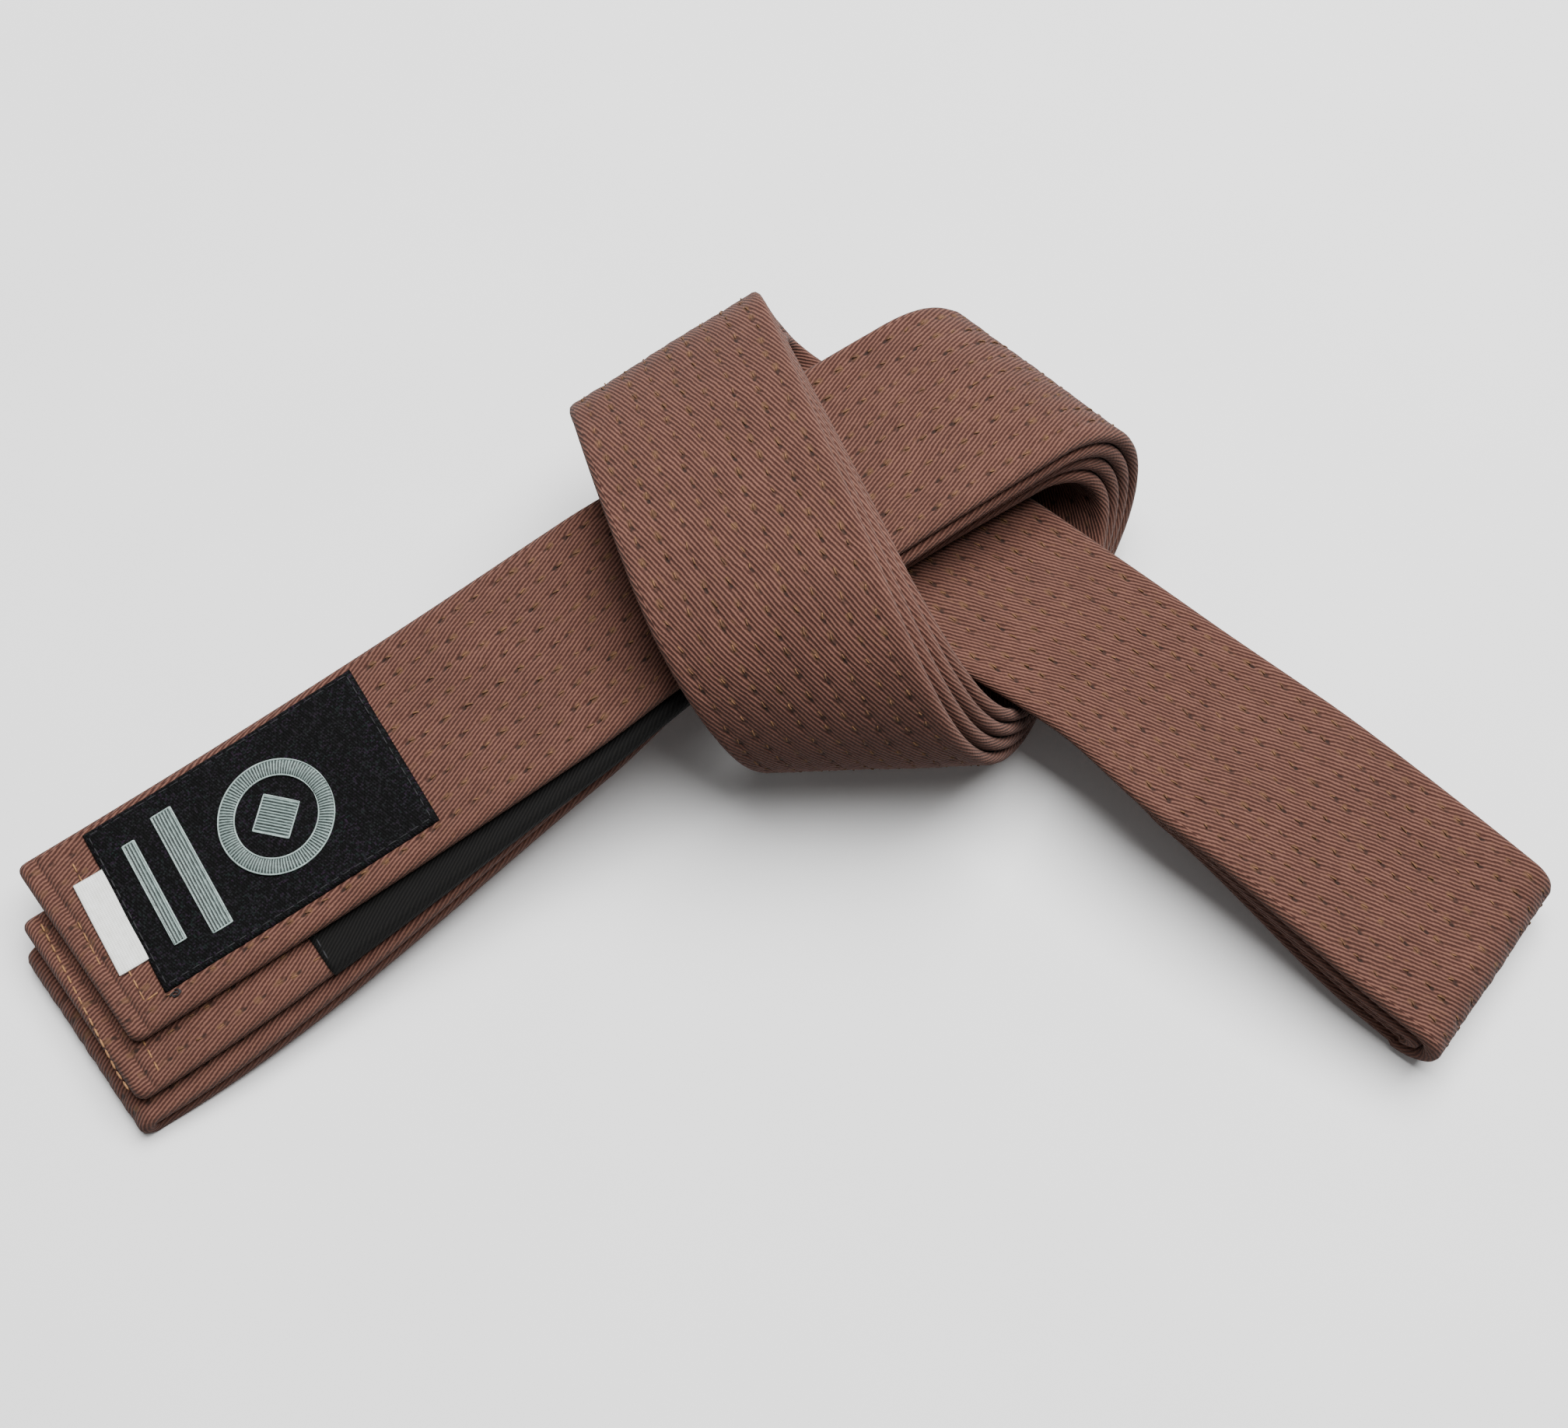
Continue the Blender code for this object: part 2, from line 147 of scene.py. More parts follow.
# Label, tag and bar: distances along the strap, and across it from its middle
PATCH_START, PATCH_END, PATCH_LOW, PATCH_HIGH = 13.5, 71.0, -16.3, 19.0
EMBLEM_ALONG, EMBLEM_ACROSS = 46.0, 1.35
RING_RADIUS, RING_BAND = 11.0, 3.0
LOZENGE_REACH, LOZENGE_OUTLINE = 5.0, 5.004
LOZENGE = ((1, 0), (0, 1), (-1, 0), (0, -1), (1, 0))
LABEL_BARS = (
    ("label_bar_long", 26.0, 30.0, -11.65, 14.35),
    ("label_bar_short", 19.0, 21.4, -9.65, 12.35),
)
TAG_SHOWING, TAG_TUCKED, TAG_LOW, TAG_HIGH = 5.6, 5.5, -9.0, 11.0
BAR_START, BAR_END = 38.5, 150.0
BAR_EASE = 0.3          # the bar's cloth stands this far out from the strap
SEAM_REACH = 18.6       # the hems' seams stop this far from the middle


# ---------------------------------------------------------------- the strap's course

def slant_run(degrees):
    """How far a slanted line runs along the strap for each millimetre across it."""
    return 1.0 / math.tan(math.radians(degrees))


def bend_about(point, direction, angle):
    """A turn by an angle about a line through a point."""
    turn = Matrix.Rotation(angle, 4, direction)
    return Matrix.Translation(point) @ turn @ Matrix.Translation(-point)


def panel_pose():
    """Where the flat panel under the knot lies: face down, at its heading."""
    heading = math.radians(UNDER_HEADING)
    x = Vector((math.cos(heading), math.sin(heading), 0))
    z = Vector((0, 0, -1))
    pose = Matrix.Identity(4)
    for column, axis in enumerate((x, z.cross(x), z, Vector((0, 0, PANEL_HEIGHT)))):
        pose.col[column][:3] = axis
    return pose


def lay_bundle():
    """Rows of (s, run, centre, across, normal) along the bundle's middle surface."""
    pose = Matrix.Identity(4)
    s, slant = 0.0, START_SLANT
    raw = [(-LEAD, slant, pose, pose)]
    for name, length, bend, end_slant, count in SECTIONS:
        steps = count * SUBSTEPS
        for k in range(steps):
            f = (k + 0.5) / steps
            here = s + length * f
            leaning = slant + (end_slant - slant) * f
            line = Vector((slant_run(leaning), 1, 0))
            after = pose @ bend_about(Vector((here, 0, 0)), line, math.radians(bend / steps))
            if name == "under" and k == steps // 2:
                rest = after @ Matrix.Translation((here, 0, 0))
            raw.append((here, leaning, pose, after))
            pose = after
        s += length
        slant = end_slant
    raw.append((s, slant, pose, pose))
    place = panel_pose() @ rest.inverted()
    rows = []
    for here, leaning, before, after in raw:
        run = slant_run(leaning)
        world = place @ before
        normal = world.col[2].to_3d() + (place @ after).col[2].to_3d()
        across = world.to_3x3() @ Vector((run, 1, 0))
        rows.append((here, run, *(world @ Vector((here, 0, 0))), *across, *normal.normalized()))
    return np.array(rows), s


BUNDLE, TOTAL = lay_bundle()


def unit(v):
    return v / np.linalg.norm(v, axis=-1, keepdims=True)


def middle(s):
    """Run, centre, across and normal of the bundle at arc lengths s."""
    columns = [np.interp(s, BUNDLE[:, 0], BUNDLE[:, k]) for k in range(1, 11)]
    values = np.stack(columns, -1)
    return values[..., 0], values[..., 1:4], values[..., 4:7], unit(values[..., 7:10])


def eased(table, s, column):
    """A table's column at arc lengths s, eased from row to row and level beyond both ends."""
    table = np.array(table)
    s = np.clip(s, table[0, 0], table[-1, 0])
    k = np.clip(np.searchsorted(table[:, 0], s) - 1, 0, len(table) - 2)
    f = (s - table[k, 0]) / (table[k + 1, 0] - table[k, 0])
    return table[k, column] + (table[k + 1, column] - table[k, column]) * f * f * (3 - 2 * f)


def pitch_at(s):
    return eased(PITCHES, s, 1)


def thickness_at(s):
    """A ply is as thick as the spacing leaves room for."""
    return np.minimum(FULLEST, pitch_at(s) - AIR)


def spread_at(s, ply):
    """Sideways shift of a ply, and the share of its width that is kept."""
    left, right = eased(LEFT_TRIMS, s, ply), eased(RIGHT_TRIMS, s, ply)
    return eased(SLIDES, s, ply) + (right - left) / 2, 1 - (left + right) / WIDTH


def as_lines(centre, across, normal, thick, run):
    """Cross lines of a ply: middle, direction across, face, thickness and run of the slant."""
    return SimpleNamespace(centre=centre, across=across, normal=normal, thick=thick, run=run)


def hem_lines(start, stop):
    """Close arc lengths from a cut end to the end of its hem."""
    return start + (stop - start) * np.linspace(0, 1, 27)[:-1] ** 1.4


def ply_lines(ply, start, stop, step, hem=None):
    """Cross lines of one ply from one arc length to another; side one faces along the normal."""
    travel = math.copysign(HEM_LENGTH, stop - start)
    first = start + travel if hem == "start" else start
    last = stop - travel if hem == "end" else stop
    s = np.linspace(first, last, max(2, round(abs(last - first) / step) + 1))
    if hem == "start":
        s = np.concatenate([hem_lines(start, first), s])
    if hem == "end":
        s = np.concatenate([s, hem_lines(stop, last)[::-1]])
    run, centre, across, normal = middle(s)
    shift, keep = spread_at(s, ply)
    offset = (2.5 - ply) * pitch_at(s)
    centre = centre + across * shift[:, None] + normal * offset[:, None]
    facing = 1 if ply in (1, 3) else -1
    onward = 1 if stop > start else -1
    return as_lines(centre, across * keep[:, None], normal * facing, thickness_at(s), run * onward)


def turn_lines(s_end, away_sign, first, second, step, folded_in=False):
    """Half turn from one ply to another at an end of the bundle."""
    run, centre, across, normal = middle(np.array(s_end))
    away = unit(np.cross(across, normal)) * away_sign
    pitch = float(pitch_at(s_end))
    radius = abs(second - first) * pitch / 2
    hub = centre + normal * ((2.5 - (first + second) / 2) * pitch)
    sign = 1 if first < second else -1
    count = max(8, round(math.pi * radius / step))
    f = np.arange(1, count) / count
    spoke = normal * (sign * np.cos(math.pi * f))[:, None] + away * np.sin(math.pi * f)[:, None]
    shift = spread_at(s_end, first)[0] * (1 - f) + spread_at(s_end, second)[0] * f
    middle_line = hub + across * shift[:, None] + spoke * radius
    many = np.ones_like(f)
    face = -spoke if folded_in else spoke
    return as_lines(
        middle_line,
        across * many[:, None],
        face,
        thickness_at(s_end) * many,
        run * away_sign * (1 - 2 * f),
    )


def joined(*parts):
    """Cross lines end to end, with the distance along the strap to each."""
    names = ("centre", "across", "normal", "thick", "run")
    lines = as_lines(*[np.concatenate([getattr(part, name) for part in parts]) for name in names])
    steps = np.linalg.norm(np.diff(lines.centre, axis=0), axis=1)
    lines.along = np.concatenate([[0.0], np.cumsum(steps)])
    return lines


# ---------------------------------------------------------------- meshes

def add_mesh(name, points, faces, slot, uvs=None):
    """A mesh object in metres; uvs maps a UV layer's name to one pair for each face corner."""
    mesh = bpy.data.meshes.new(name)
    mesh.from_pydata((np.asarray(points) * MM).tolist(), [], [list(face) for face in faces])
    for layer, pairs in (uvs or {}).items():
        made = mesh.uv_layers.new(name=layer)
        made.data.foreach_set("uv", np.asarray(pairs, dtype=np.float32).ravel())
    mesh.polygons.foreach_set("use_smooth", [True] * len(mesh.polygons))
    mesh.update()
    obj = bpy.data.objects.new(name, mesh)
    bpy.context.scene.collection.objects.link(obj)
    obj.data.materials.append(MATERIALS[slot])
    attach(obj, "root")
    return obj


def edge_arc(count):
    """Angles round a folded edge, without its two ends."""
    return np.linspace(math.pi / 2, -math.pi / 2, count + 2)[1:-1]


def ring_outline(fine, coarse, round_count):
    """Outline of a ply's section: side one from left to right, right edge, side two, left edge.

    Each point is (place across from -1 to 1, side, sideways share of the edge radius).
    """
    outline = [(t, 1.0, 0.0) for t in np.linspace(1, -1, fine)]
    outline += [(-1.0, math.sin(a), -math.cos(a)) for a in edge_arc(round_count)]
    outline += [(t, -1.0, 0.0) for t in np.linspace(-1, 1, coarse)]
    outline += [(1.0, math.sin(a), math.cos(a)) for a in edge_arc(round_count)[::-1]]
    return np.array(outline)


def row_distance(t):
    """Distance to the nearest quilting row."""
    k = np.clip(np.round(t / ROW_PITCH), -(ROWS // 2), ROWS // 2)
    return np.abs(t - k * ROW_PITCH), k


def row_phase(k):
    """Each row of stitches starts at its own place."""
    return (np.sin(k * ROW_HASH + ROW_HASH_START) * HASH_SCALE) % 1.0 * STITCH


def chance(n, k, seed):
    """A steady pseudo-random share for stitch n of row k."""
    return (np.sin(n * HOLE_HASH + k * HOLE_HASH_ROW + seed) * HASH_SCALE) % 1.0


def quilt(u, t):
    """Height of the quilted face: faint channels along the rows, dimples where the thread goes in."""
    d, k = row_distance(t)
    n = np.round((u - row_phase(k)) / STITCH)
    du = u - row_phase(k) - n * STITCH - HOLE_DRIFT * (chance(n, k, SEED_ALONG) - 0.5)
    dt = t - k * ROW_PITCH - ROW_DRIFT * (chance(n, k, SEED_ASIDE) - 0.5)
    channel = -0.07 * np.exp(-((d / 0.9) ** 2))
    depth = 0.40 * (0.5 + chance(n, k, SEED_DEPTH))
    dimple = -depth * np.exp(-((dt / 0.6) ** 2) - (du / 0.75) ** 2)
    drift = 0.13 * np.sin(u * 0.16 + 0.5 * np.sin(t * 0.3)) * np.sin(t * 0.21 + u * 0.043 + 1.0)
    pucker = 0.06 * np.sin(u * 1.57 + k * 2.1) * np.cos(t * 1.46)
    return channel + dimple + drift + pucker + 0.06


def hem_profile(distance):
    """Extra thickness near a cut end: the turned cloth and the seam behind it."""
    rounded = np.sqrt(np.clip(1 - (1 - np.minimum(distance, 1.2) / 1.2) ** 2, 0.02, 1.0))
    puff = 0.30 * np.exp(-(((distance - 1.7) / 1.1) ** 2))
    seam = -0.52 * np.exp(-(((distance - 3.6) / 0.45) ** 2))
    ridge = 0.16 * np.exp(-(((distance - 5.2) / 0.9) ** 2))
    return rounded, puff + seam + ridge


def corner_trim(distance):
    """How far the rounded corners of a cut end draw the edges in."""
    inward = np.clip(1 - distance / HEM_ROUND, 0.0, 1.0)
    return HEM_ROUND * (1 - np.sqrt(1 - inward**2)) * 0.8


def strap_piece(
    name, lines, fine, coarse, hem_start=False, hem_end=False, grow=0.0, slot="cloth_brown"
):
    """A closed, quilted piece of the strap along its cross lines."""
    outline = ring_outline(fine, coarse, 4)
    place, side, bulge = outline.T
    n, m = len(lines.along), len(outline)
    length = lines.along[-1]
    half = WIDTH / 2 - EDGE_RADIUS
    t = place * half + bulge * EDGE_RADIUS
    u = lines.along[:, None] + t[None, :] * lines.run[:, None]
    height = np.repeat((lines.thick / 2 + grow)[:, None], m, axis=1)
    keep = np.ones((n, 1))
    relief = quilt(u, np.broadcast_to(t, u.shape)) * (1 if slot == "cloth_brown" else 0.4)
    flat = (np.abs(side) > 0.99) & (np.abs(place) < 0.98)
    extra = np.where(flat[None, :], relief, 0.0)
    from_start = lines.along - lines.along[0]
    for wanted, distance in ((hem_start, from_start), (hem_end, length - lines.along)):
        if wanted:
            rounded, puff = hem_profile(distance)
            height = height * rounded[:, None]
            near = np.clip(distance / 6.0 - 0.4, 0.0, 1.0)[:, None]
            extra = extra * near + puff[:, None] * (np.abs(side) > 0.99)[None, :]
            keep = keep - (corner_trim(distance) / (WIDTH / 2))[:, None]
    z = (height + extra) * side[None, :]
    widen = grow * np.sign(bulge) * (np.abs(bulge) > 0)
    points = (
        lines.centre[:, None, :]
        + lines.across[:, None, :] * ((t + widen)[None, :] * keep)[:, :, None]
        + lines.normal[:, None, :] * z[:, :, None]
    )
    points[..., 2] = np.maximum(points[..., 2], FLOOR_GAP + 0.05 * np.sin(u * 0.7))
    grid = np.arange(n * m).reshape(n, m)
    low, high = grid[:-1], grid[1:]
    faces = np.stack([low, np.roll(low, -1, 1), np.roll(high, -1, 1), high], -1).reshape(-1, 4)
    caps = [list(grid[0][::-1]), list(grid[-1])]
    uvs = strap_uvs(u, t, side)
    return add_mesh(name, points.reshape(-1, 3), list(faces) + caps, slot, uvs)


def strap_uvs(u, t, side):
    """Two maps in millimetres: the cloth unrolled round the strap, and the quilting rows."""
    section = np.stack([t, side * 1.6], -1)
    steps = np.linalg.norm(np.diff(np.vstack([section, section[:1]]), axis=0), axis=1)
    girth = np.concatenate([[0.0], np.cumsum(steps)])
    v0, v1 = -girth[:-1], -girth[1:]
    t1 = np.roll(t, -1)
    u1 = np.roll(u, -1, 1)

    def corners(a, b, lower_u, upper_u):
        stack = [
            np.stack([lower_u[:-1], np.broadcast_to(a, lower_u[:-1].shape)], -1),
            np.stack([upper_u[:-1], np.broadcast_to(b, lower_u[:-1].shape)], -1),
            np.stack([upper_u[1:], np.broadcast_to(b, lower_u[:-1].shape)], -1),
            np.stack([lower_u[1:], np.broadcast_to(a, lower_u[:-1].shape)], -1),
        ]
        return np.stack(stack, 2).reshape(-1, 2)

    caps = np.zeros((2 * len(t), 2))
    cloth = np.vstack([corners(v0, v1, u, u1), caps])
    rows = np.vstack([corners(t, t1, u, u1), caps])
    return {"cloth": cloth, "rows": rows}


# ---------------------------------------------------------------- materials

def srgb(red, green, blue):
    """Linear colour from 8-bit display values."""
    share = [c / 255 for c in (red, green, blue)]
    return [c / 12.92 if c < 0.04045 else ((c + 0.055) / 1.055) ** 2.4 for c in share]


class Net:
    """A material's node tree with short calls; sockets and numbers can be mixed."""

    def __init__(self, name):
        self.material = bpy.data.materials.new(name)
        self.material.use_nodes = True
        self.tree = self.material.node_tree
        self.shader = self.tree.nodes["Principled BSDF"]

    def link(self, value, socket):
        if isinstance(value, bpy.types.NodeSocket):
            self.tree.links.new(value, socket)
        elif isinstance(value, (tuple, list)) and len(socket.default_value) == 4:
            socket.default_value = (*value[:3], 1.0)
        else:
            socket.default_value = value

    def math(self, operation, a, b=0.0):
        node = self.tree.nodes.new("ShaderNodeMath")
        node.operation = operation
        for value, socket in zip((a, b), node.inputs):
            self.link(value, socket)
        return node.outputs[0]

    def add(self, a, b):
        return self.math("ADD", a, b)

    def sub(self, a, b):
        return self.math("SUBTRACT", a, b)

    def mul(self, a, b):
        return self.math("MULTIPLY", a, b)

    def wave(self, value, period=1.0):
        """Cosine of a value with this period."""
        return self.math("COSINE", self.mul(value, 2 * math.pi / period))

    def floor(self, value, size=1.0):
        """Number of the cell of this size that the value falls in."""
        return self.math("FLOOR", self.mul(value, 1 / size))

    def uv(self, layer):
        """Both coordinates of a UV layer, in millimetres."""
        node = self.tree.nodes.new("ShaderNodeUVMap")
        node.uv_map = layer
        split = self.tree.nodes.new("ShaderNodeSeparateXYZ")
        self.tree.links.new(node.outputs[0], split.inputs[0])
        return split.outputs[0], split.outputs[1]

    def place(self):
        """Object coordinates in millimetres."""
        node = self.tree.nodes.new("ShaderNodeTexCoord")
        scale = self.tree.nodes.new("ShaderNodeVectorMath")
        scale.operation = "SCALE"
        scale.inputs["Scale"].default_value = 1 / MM
        self.tree.links.new(node.outputs["Object"], scale.inputs[0])
        return scale.outputs[0]

    def vector(self, x, y, z=0.0):
        node = self.tree.nodes.new("ShaderNodeCombineXYZ")
        for value, socket in zip((x, y, z), node.inputs):
            self.link(value, socket)
        return node.outputs[0]

    def noise(self, vector, scale, detail=2.0, rough=0.5):
        node = self.tree.nodes.new("ShaderNodeTexNoise")
        self.link(vector, node.inputs["Vector"])
        node.inputs["Scale"].default_value = scale
        node.inputs["Detail"].default_value = detail
        node.inputs["Roughness"].default_value = rough
        return node.outputs["Fac"]

    def speck(self, vector):
        """A random value for each whole-number cell of the vector."""
        node = self.tree.nodes.new("ShaderNodeTexWhiteNoise")
        node.noise_dimensions = "3D"
        self.link(vector, node.inputs["Vector"])
        return node.outputs["Value"]

    def ramp(self, value, low, high, to_low=0.0, to_high=1.0):
        """Smooth step between two levels."""
        node = self.tree.nodes.new("ShaderNodeMapRange")
        node.interpolation_type = "SMOOTHSTEP"
        for number, socket in zip((value, low, high, to_low, to_high), node.inputs):
            self.link(number, socket)
        return node.outputs[0]

    def mix(self, factor, a, b, blend="MIX"):
        node = self.tree.nodes.new("ShaderNodeMix")
        node.data_type = "RGBA"
        node.blend_type = blend
        self.link(factor, node.inputs["Factor"])
        self.link(a, node.inputs[6])
        self.link(b, node.inputs[7])
        return node.outputs[2]

    def bump(self, height, distance):
        """Bumped normal; the distance is in millimetres."""
        node = self.tree.nodes.new("ShaderNodeBump")
        node.inputs["Strength"].default_value = 1.0
        node.inputs["Distance"].default_value = distance * MM
        self.link(height, node.inputs["Height"])
        return node.outputs[0]

    def finish(self, colour, roughness, normal=None, sheen=0.0, specular=0.25):
        """Wires the shader's sockets and returns the material."""
        self.link(colour, self.shader.inputs["Base Color"])
        self.link(roughness, self.shader.inputs["Roughness"])
        self.shader.inputs["Specular IOR Level"].default_value = specular
        self.shader.inputs["Sheen Weight"].default_value = sheen
        self.shader.inputs["Sheen Roughness"].default_value = 0.5
        if normal is not None:
            self.link(normal, self.shader.inputs["Normal"])
        return self.material


def twill_pattern(net, u, v, pitch, angle):
    """Diagonal ribs: crest (0 to 1), place across the ribs and place along them."""
    turn = math.radians(angle)
    cross = net.sub(net.mul(v, math.cos(turn)), net.mul(u, math.sin(turn)))
    along = net.add(net.mul(u, math.cos(turn)), net.mul(v, math.sin(turn)))
    drift = net.noise(net.vector(u, v), 0.05, 1.0)
    wobble = net.noise(net.vector(u, v), 0.55, 2.0)
    moved = net.add(cross, net.add(net.mul(drift, 1.6), net.mul(wobble, 0.28)))
    phase = net.mul(moved, 1 / pitch)
    crest = net.add(net.mul(net.wave(phase), 0.5), 0.5)
    return crest, phase, along


def net_chance(net, n, k, seed):
    """The same share as chance(), as nodes."""
    angle = net.add(net.add(net.mul(n, HOLE_HASH), net.mul(k, HOLE_HASH_ROW)), seed)
    return net.math("FRACT", net.mul(net.math("SINE", angle), HASH_SCALE))


def net_drift(net, n, k, seed, size):
    """A hole's own shift, as in quilt()."""
    return net.mul(net.sub(net_chance(net, n, k, seed), 0.5), size)


def blot(net, du, dt, half_u, half_t):
    """Squared distance from the middle of an oval spot; 1 at its rim."""
    lengthways = net.math("POWER", net.mul(du, 1 / half_u), 2.0)
    sideways = net.math("POWER", net.mul(dt, 1 / half_t), 2.0)
    return net.add(lengthways, sideways)


def hole_shade_and_rubbing(net, u, t):
    """Painted shade in the needle holes where the quilting thread goes in, and the rubbed thread
    beside them.
    """
    k = net.math("ROUND", net.mul(t, 1 / ROW_PITCH))
    row_angle = net.add(net.mul(k, ROW_HASH), ROW_HASH_START)
    start = net.math("FRACT", net.mul(net.math("SINE", row_angle), HASH_SCALE))
    step = net.sub(net.mul(u, 1 / STITCH), start)
    n = net.math("ROUND", step)
    du = net.sub(net.mul(net.sub(step, n), STITCH), net_drift(net, n, k, SEED_ALONG, HOLE_DRIFT))
    dt = net.sub(net.sub(t, net.mul(k, ROW_PITCH)), net_drift(net, n, k, SEED_ASIDE, ROW_DRIFT))
    ragged = net.mul(net.sub(net.noise(net.vector(u, t), 1.6, 2.0), 0.5), 1.6)
    inside = net.ramp(net.math("ABSOLUTE", t), 18.4, 18.9, 1.0, 0.0)

    # painted shade: each needle hole is darkened in the cloth's colour
    spot = blot(net, du, dt, 0.62, 0.42)
    hole = net.ramp(net.add(spot, ragged), 0.1, 1.6, 1.0, 0.0)
    strength = net.add(net.mul(net_chance(net, n, k, SEED_DEPTH), 0.6), 0.25)

    patch = blot(net, net.sub(du, 1.2), dt, 1.1, 0.65)
    rubbed = net.ramp(net.add(patch, ragged), 0.2, 1.5, 0.62, 0.0)
    rub = net_chance(net, n, k, SEED_RUBBED)
    return net.mul(net.mul(hole, strength), inside), net.mul(net.mul(rubbed, rub), inside)


def brown_twill():
    """Brown cotton twill: pinkish ribs over dark red grooves, tan flecks, painted shade in the needle
    holes.
    """
    net = Net("cloth_brown")
    u, v = net.uv("cloth")
    row_u, row_t = net.uv("rows")
    crest, phase, along = twill_pattern(net, u, v, RIB_PITCH, RIB_ANGLE)
    twist = net.wave(net.add(net.mul(along, 1 / 0.95), net.mul(phase, 0.5)))
    strand = net.speck(net.vector(net.floor(phase), net.math("FLOOR", net.mul(along, 0.55)), 3.0))
    fine = net.noise(net.vector(u, v), 3.2, 3.0, 0.65)
    broad = net.noise(net.vector(u, v), 0.09, 3.0, 0.6)

    level = net.add(net.mul(crest, 0.86), net.mul(twist, 0.05))
    level = net.add(level, net.mul(net.sub(fine, 0.5), 0.55))
    level = net.add(level, net.mul(net.sub(strand, 0.5), 0.16))
    level = net.ramp(level, 0.05, 1.02)
    colour = net.mix(level, srgb(56, 29, 22), srgb(112, 76, 64))

    patchy = net.noise(net.vector(net.mul(along, 0.35), net.mul(phase, 1.3), 7.0), 1.0, 2.0, 0.7)
    tan = net.ramp(patchy, 0.60, 0.74)
    colour = net.mix(net.mul(tan, 0.35), colour, srgb(112, 80, 54))
    shade = net.ramp(broad, 0.25, 0.75, 0.90, 1.08)
    colour = net.mix(1.0, colour, net.vector(shade, shade, shade), "MULTIPLY")

    hole, rubbed = hole_shade_and_rubbing(net, row_u, row_t)
    colour = net.mix(rubbed, colour, srgb(94, 68, 46))
    # painted shade in the needle holes
    colour = net.mix(hole, colour, srgb(26, 15, 11))
    wear = net.ramp(net.math("ABSOLUTE", row_t), 19.9, 20.9, 0.0, 0.10)
    colour = net.mix(wear, colour, srgb(140, 104, 90))
    height = net.add(crest, net.add(net.mul(twist, 0.10), net.mul(fine, 0.5)))
    return net.finish(colour, 0.88, net.bump(height, 0.13), sheen=0.06)


def black_twill():
    """The bar's black cotton twill, with a little dust."""
    net = Net("cloth_black")
    u, v = net.uv("cloth")
    crest, _, _ = twill_pattern(net, u, v, 0.62, 28.0)
    fine = net.noise(net.vector(u, v), 3.0, 3.0, 0.7)
    level = net.ramp(net.add(net.mul(crest, 0.6), net.mul(fine, 0.6)), 0.15, 1.05)
    colour = net.mix(level, srgb(6, 6, 6), srgb(22, 21, 20))
    dust = net.ramp(net.noise(net.vector(u, v), 1.1, 3.0, 0.7), 0.66, 0.8)
    colour = net.mix(net.mul(dust, 0.18), colour, srgb(44, 40, 36))
    normal = net.bump(net.add(crest, net.mul(fine, 0.5)), 0.09)
    return net.finish(colour, 0.85, normal, specular=0.15)


def label_cloth():
    """Dense satin-woven ground: fine crossing yarns with faint cool and warm specks."""
    net = Net("label_black")
    u, v = net.uv("cloth")

    def cell_tone(length, width, layer):
        return net.speck(net.vector(net.floor(u, length), net.floor(v, width), layer))

    warp = net.wave(net.add(u, net.mul(v, 0.35)), 0.52)
    weft = net.wave(net.sub(v, net.mul(u, 0.35)), 0.44)
    weave = net.add(net.mul(net.mul(warp, weft), 0.25), net.mul(warp, 0.25))
    tone = cell_tone(0.42, 0.30, 1.0)
    tint = cell_tone(0.66, 0.42, 5.0)
    level = net.ramp(net.add(net.mul(tone, 0.85), net.mul(weave, 0.5)), 0.35, 1.25)
    dark = net.mix(level, (0.0006, 0.0006, 0.0007), srgb(30, 29, 31))
    cool = net.mix(net.ramp(tint, 0.1, 0.9), srgb(6, 30, 24), srgb(38, 14, 42))
    broad = net.ramp(net.noise(net.vector(u, v), 0.12, 2.0), 0.35, 0.7, 0.15, 0.5)
    colour = net.mix(net.mul(broad, net.ramp(tone, 0.5, 1.0)), dark, cool)
    normal = net.bump(net.add(weave, net.mul(tone, 0.8)), 0.10)
    return net.finish(colour, 0.8, normal, specular=0.12)


def satin_thread():
    """Silver embroidery: parallel shining threads that run across each shape."""
    net = Net("thread_silver")
    u, v = net.uv("cloth")
    line = net.wave(u, SATIN_PITCH)
    fine = net.noise(net.vector(net.mul(u, 2.0), net.mul(v, 0.5)), 1.3, 2.0, 0.6)
    level = net.ramp(net.add(net.mul(line, 0.34), fine), 0.15, 0.95)
    colour = net.mix(level, srgb(38, 48, 46), srgb(136, 156, 152))
    normal = net.bump(net.add(line, fine), 0.11)
    return net.finish(colour, 0.42, normal, sheen=0.1, specular=0.5)


def spun_thread(name, dark, light, roughness=0.75):
    """Mottled thread between two display colours."""
    net = Net(name)
    place = net.place()
    fine = net.noise(place, 2.6, 2.0, 0.6)
    tone = net.noise(place, 0.35, 2.0, 0.6)
    level = net.ramp(net.add(net.mul(fine, 0.6), net.mul(tone, 0.5)), 0.25, 0.85)
    normal = net.bump(fine, 0.05)
    return net.finish(net.mix(level, srgb(*dark), srgb(*light)), roughness, normal, sheen=0.05)


def tag_tape():
    """White woven tape with a faint rib and a faint yellowish mottle."""
    net = Net("tag_white")
    u, v = net.uv("cloth")
    weave = net.add(net.mul(net.wave(v, 0.36), 0.5), net.mul(net.wave(u, 0.5), 0.3))
    soft = net.noise(net.vector(u, v), 0.5, 3.0, 0.6)
    level = net.ramp(net.add(net.mul(weave, 0.3), soft), 0.1, 0.8)
    colour = net.mix(level, srgb(214, 214, 208), srgb(240, 241, 238))
    return net.finish(colour, 0.7, net.bump(weave, 0.05), specular=0.3)


def floor_paint():
    """Pale grey, very slightly uneven."""
    net = Net("floor")
    tone = net.noise(net.place(), 0.02, 2.0)
    colour = net.mix(net.ramp(tone, 0.3, 0.7), (0.86, 0.86, 0.86), (0.88, 0.88, 0.88))
    return net.finish(colour, 0.9)


